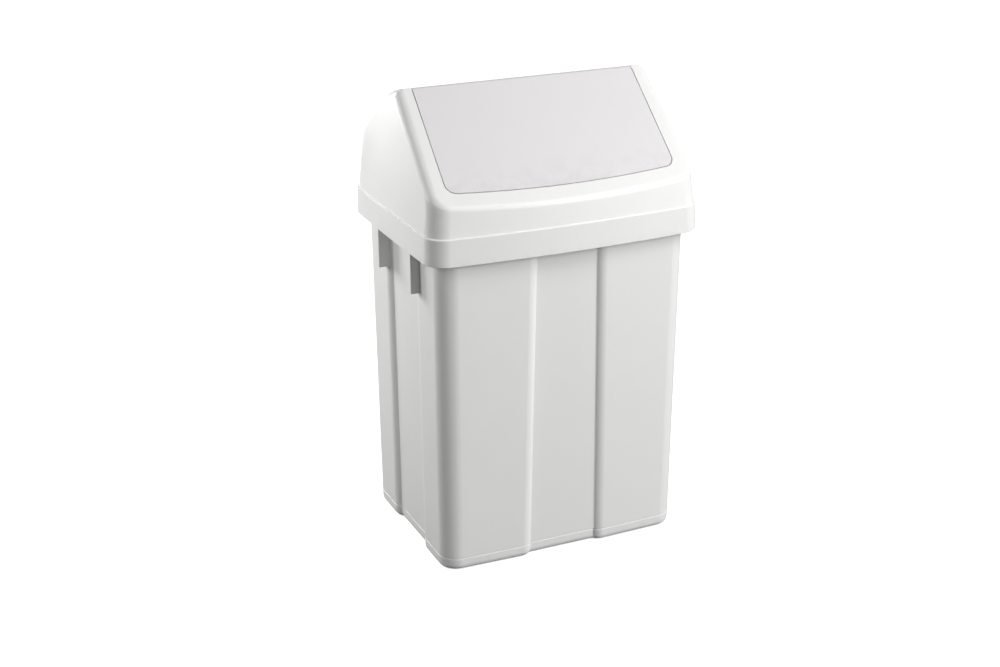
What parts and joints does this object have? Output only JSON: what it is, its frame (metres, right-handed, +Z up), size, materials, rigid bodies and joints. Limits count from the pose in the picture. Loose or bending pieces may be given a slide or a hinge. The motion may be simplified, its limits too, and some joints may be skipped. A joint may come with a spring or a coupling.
{
  "type": "swing-lid trash can",
  "caption": "Tall rectangular swing-lid bin: thin-walled bucket with proud corner columns, lift-off hood with a slanted push flap balanced by a weight.",
  "frame": {"origin": "centre of the footprint, on the surface that the bin stands on", "axes": "+X to the bin's right when seen from the front, -Y out of the front where the slanted flap is, +Z up"},
  "size_m": [0.333, 0.2636, 0.5411],
  "materials": {
    "bucket_plastic": "satin white polypropylene",
    "hood_plastic": "satin white polypropylene",
    "flap_plastic": "satin white polypropylene, slightly cooler",
    "bright_steel": "bright drawn steel"
  },
  "bodies": {
    "bucket": {"bucket": "bucket_plastic"},
    "hood": {"hood": "hood_plastic", "axle_rod": "bright_steel"},
    "flap": {"swing_flap": "flap_plastic", "counterweight_bar": "bright_steel"}
  },
  "joints": [
    {"name": "hood_lift", "type": "slide", "parent": "bucket", "child": "hood", "axis": [0, 0, 1], "range_m": [0, 0.15]},
    {"name": "flap_swing", "type": "hinge", "parent": "hood", "child": "flap", "pos_m": [0, 0, 0.5358], "axis": [1, 0, 0], "range_deg": [0, 36]}
  ]
}
